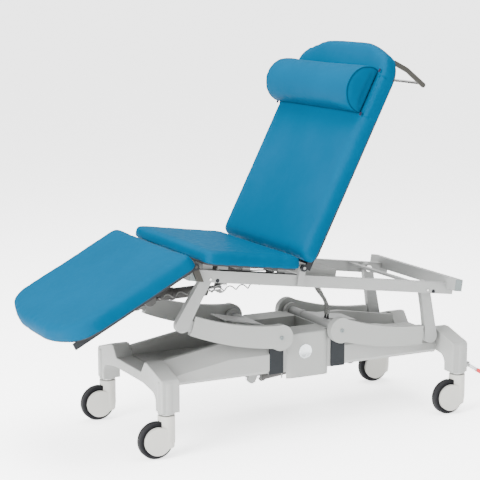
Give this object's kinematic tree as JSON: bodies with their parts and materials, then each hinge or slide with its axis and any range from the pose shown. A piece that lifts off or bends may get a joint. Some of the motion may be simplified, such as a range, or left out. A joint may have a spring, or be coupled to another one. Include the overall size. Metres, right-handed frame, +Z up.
{
  "type": "examination couch",
  "caption": "Powered examination couch on castors with a seat, tilting leg section and backrest, parallel lift arms and a head pillow.",
  "frame": {"origin": "on the floor, below the middle of the couch's bounding box", "axes": "+X from the foot end to the head end, -Y the near side, +Z up"},
  "size_m": [1.639, 0.6312, 1.3394],
  "materials": {
    "frame_paint": "satin powder coat",
    "cover_plastic": "satin moulded",
    "dark_trim": "satin",
    "steel": "brushed",
    "castor_plastic": "semi-gloss",
    "tyre": "matt rubber",
    "pedal_metal": "satin",
    "end_cap": "matt",
    "vinyl": "smooth satin vinyl",
    "board": "matt",
    "actuator_plastic": "matt",
    "actuator_rod": "polished",
    "lead": "matt"
  },
  "bodies": {
    "base": {"foot_leg_frame": "frame_paint", "head_leg_frame": "frame_paint", "foot_beam": "frame_paint", "head_beam": "frame_paint", "pivot_housing": "frame_paint", "side_trim_panels": "dark_trim", "centre_cover": "cover_plastic", "castor_stems": "steel"},
    "brake_pedal": {"brake_pedal": "pedal_metal"},
    "foot_lift_arms": {"foot_arm_near": "frame_paint", "foot_arm_far": "frame_paint", "foot_arm_cover_near": "cover_plastic", "foot_arm_cover_far": "cover_plastic", "foot_arm_crossmember": "frame_paint", "foot_rollers": "steel"},
    "head_lift_arms": {"head_arm_near": "frame_paint", "head_arm_far": "frame_paint", "head_arm_cover_near": "cover_plastic", "head_arm_cover_far": "cover_plastic", "head_arm_crossmember": "frame_paint"},
    "top_frame": {"near_side_rail": "frame_paint", "far_side_rail": "frame_paint", "head_pins": "steel", "head_cross_rail": "frame_paint", "rail_end_caps": "end_cap", "cross_members": "frame_paint", "leg_hinge_brackets": "dark_trim", "back_hinge_brackets": "dark_trim", "control_box": "dark_trim", "seat_board": "board", "seat_pad": "vinyl", "handset_lead": "lead", "supply_lead": "lead", "leg_lead": "lead"},
    "leg_section": {"leg_section_frame": "dark_trim", "leg_board": "board", "leg_pad": "vinyl"},
    "backrest": {"backrest_frame": "dark_trim", "backrest_board": "board", "backrest_pad": "vinyl", "roll_holder_straps": "dark_trim", "roll_holder_rod": "steel"},
    "head_pillow": {"pillow": "vinyl", "pillow_strap": "vinyl"},
    "foot_near_castor": {"foot_near_castor_housing": "castor_plastic"},
    "foot_near_castor_wheel": {"foot_near_castor_wheel": "tyre"},
    "foot_far_castor": {"foot_far_castor_housing": "castor_plastic"},
    "foot_far_castor_wheel": {"foot_far_castor_wheel": "tyre"},
    "head_near_castor": {"head_near_castor_housing": "castor_plastic"},
    "head_near_castor_wheel": {"head_near_castor_wheel": "tyre"},
    "head_far_castor": {"head_far_castor_housing": "castor_plastic"},
    "head_far_castor_wheel": {"head_far_castor_wheel": "tyre"},
    "foot_lift_actuator": {"foot_lift_actuator_body": "actuator_plastic"},
    "foot_lift_actuator_rod": {"foot_lift_actuator_rod": "actuator_rod"},
    "head_lift_actuator": {"head_lift_actuator_body": "actuator_plastic"},
    "head_lift_actuator_rod": {"head_lift_actuator_rod": "actuator_rod"},
    "leg_actuator": {"leg_actuator_body": "actuator_plastic"},
    "leg_actuator_rod": {"leg_actuator_rod": "actuator_rod"},
    "backrest_actuator": {"backrest_actuator_body": "actuator_plastic"},
    "backrest_actuator_rod": {"backrest_actuator_rod": "actuator_rod"}
  },
  "joints": [
    {"name": "foot_near_castor_swivel", "type": "hinge", "parent": "base", "child": "foot_near_castor", "pos_m": [-0.4355, -0.252, 0.143], "axis": [0, 0, 1], "continuous": true},
    {"name": "foot_near_castor_roll", "type": "hinge", "parent": "foot_near_castor", "child": "foot_near_castor_wheel", "pos_m": [-0.4745, -0.252, 0.0625], "axis": [0, 1, 0], "continuous": true},
    {"name": "foot_far_castor_swivel", "type": "hinge", "parent": "base", "child": "foot_far_castor", "pos_m": [-0.4355, 0.252, 0.143], "axis": [0, 0, 1], "continuous": true},
    {"name": "foot_far_castor_roll", "type": "hinge", "parent": "foot_far_castor", "child": "foot_far_castor_wheel", "pos_m": [-0.4745, 0.252, 0.0625], "axis": [0, 1, 0], "continuous": true},
    {"name": "head_near_castor_swivel", "type": "hinge", "parent": "base", "child": "head_near_castor", "pos_m": [0.7175, -0.252, 0.143], "axis": [0, 0, 1], "continuous": true},
    {"name": "head_near_castor_roll", "type": "hinge", "parent": "head_near_castor", "child": "head_near_castor_wheel", "pos_m": [0.6785, -0.252, 0.0625], "axis": [0, 1, 0], "continuous": true},
    {"name": "head_far_castor_swivel", "type": "hinge", "parent": "base", "child": "head_far_castor", "pos_m": [0.7175, 0.252, 0.143], "axis": [0, 0, 1], "continuous": true},
    {"name": "head_far_castor_roll", "type": "hinge", "parent": "head_far_castor", "child": "head_far_castor_wheel", "pos_m": [0.6785, 0.252, 0.0625], "axis": [0, 1, 0], "continuous": true},
    {"name": "brake_pedal_tilt", "type": "hinge", "parent": "base", "child": "brake_pedal", "pos_m": [0.7585, -0.262, 0.172], "axis": [0, 1, 0], "range_deg": [-15, 15]},
    {"name": "lift", "type": "hinge", "parent": "base", "child": "head_lift_arms", "pos_m": [0.261, 0, 0.34], "axis": [0, -1, 0], "range_deg": [-5, 33]},
    {"name": "foot_arms_swing", "type": "hinge", "parent": "base", "child": "foot_lift_arms", "pos_m": [0.021, 0, 0.34], "axis": [0, 1, 0], "range_deg": [-5.1, 33.1]},
    {"name": "frame_tilt", "type": "hinge", "parent": "head_lift_arms", "child": "top_frame", "pos_m": [0.60394, 0, 0.46549], "axis": [0, 1, 0], "range_deg": [-4.99, 31.79], "deforming": ["handset_lead", "supply_lead"]},
    {"name": "leg_section_tilt", "type": "hinge", "parent": "top_frame", "child": "leg_section", "pos_m": [-0.32298, 0, 0.62501], "axis": [0, 1, 0], "range_deg": [-15, 35.5], "deforming": ["leg_lead"]},
    {"name": "backrest_tilt", "type": "hinge", "parent": "top_frame", "child": "backrest", "pos_m": [0.08228, 0, 0.58453], "axis": [0, -1, 0], "range_deg": [-70, 4]},
    {"name": "pillow_slide", "type": "slide", "parent": "backrest", "child": "head_pillow", "axis": [0.4511, 0, 0.8925], "range_m": [-0.02, 0.045]},
    {"name": "foot_lift_actuator_swing", "type": "hinge", "parent": "base", "child": "foot_lift_actuator", "pos_m": [0.401, -0.077, 0.222], "axis": [0, 1, 0], "range_deg": [-1.38, 7.41]},
    {"name": "foot_lift_actuator_stroke", "type": "slide", "parent": "foot_lift_actuator", "child": "foot_lift_actuator_rod", "axis": [-0.995, 0, -0.0995], "range_m": [-0.01296, 0.07996]},
    {"name": "head_lift_actuator_swing", "type": "hinge", "parent": "base", "child": "head_lift_actuator", "pos_m": [-0.119, 0.052, 0.222], "axis": [0, -1, 0], "range_deg": [-0.96, 4.69]},
    {"name": "head_lift_actuator_stroke", "type": "slide", "parent": "head_lift_actuator", "child": "head_lift_actuator_rod", "axis": [0.9896, 0, -0.1439], "range_m": [-0.0152, 0.09471]},
    {"name": "leg_actuator_swing", "type": "hinge", "parent": "leg_section", "child": "leg_actuator", "pos_m": [-0.4815, -0.06, 0.49667], "axis": [0, -1, 0], "range_deg": [-8.3, 19.23]},
    {"name": "leg_actuator_stroke", "type": "slide", "parent": "leg_actuator", "child": "leg_actuator_rod", "axis": [0.9996, 0, 0.0267], "range_m": [-0.02905, 0.06739]},
    {"name": "backrest_actuator_swing", "type": "hinge", "parent": "top_frame", "child": "backrest_actuator", "pos_m": [-0.26349, 0.06, 0.5583], "axis": [0, -1, 0], "range_deg": [-0.96, 0.34]},
    {"name": "backrest_actuator_stroke", "type": "slide", "parent": "backrest_actuator", "child": "backrest_actuator_rod", "axis": [0.9971, 0, -0.0758], "range_m": [-0.07206, 0.00506]}
  ],
  "couplings": [
    {"joint": "foot_arms_swing", "follows": "lift", "ratio": 1},
    {"joint": "frame_tilt", "follows": "lift", "ratio": 0.95719},
    {"joint": "foot_lift_actuator_swing", "follows": "lift", "ratio": 0.21542},
    {"joint": "foot_lift_actuator_stroke", "follows": "lift", "m_per_rad": 0.1371},
    {"joint": "head_lift_actuator_swing", "follows": "lift", "ratio": 0.13296},
    {"joint": "head_lift_actuator_stroke", "follows": "lift", "m_per_rad": 0.16271},
    {"joint": "leg_actuator_swing", "follows": "leg_section_tilt", "ratio": 0.53329},
    {"joint": "leg_actuator_stroke", "follows": "leg_section_tilt", "m_per_rad": 0.10716},
    {"joint": "backrest_actuator_swing", "follows": "backrest_tilt", "ratio": 0.009469},
    {"joint": "backrest_actuator_stroke", "follows": "backrest_tilt", "m_per_rad": 0.058159}
  ]
}
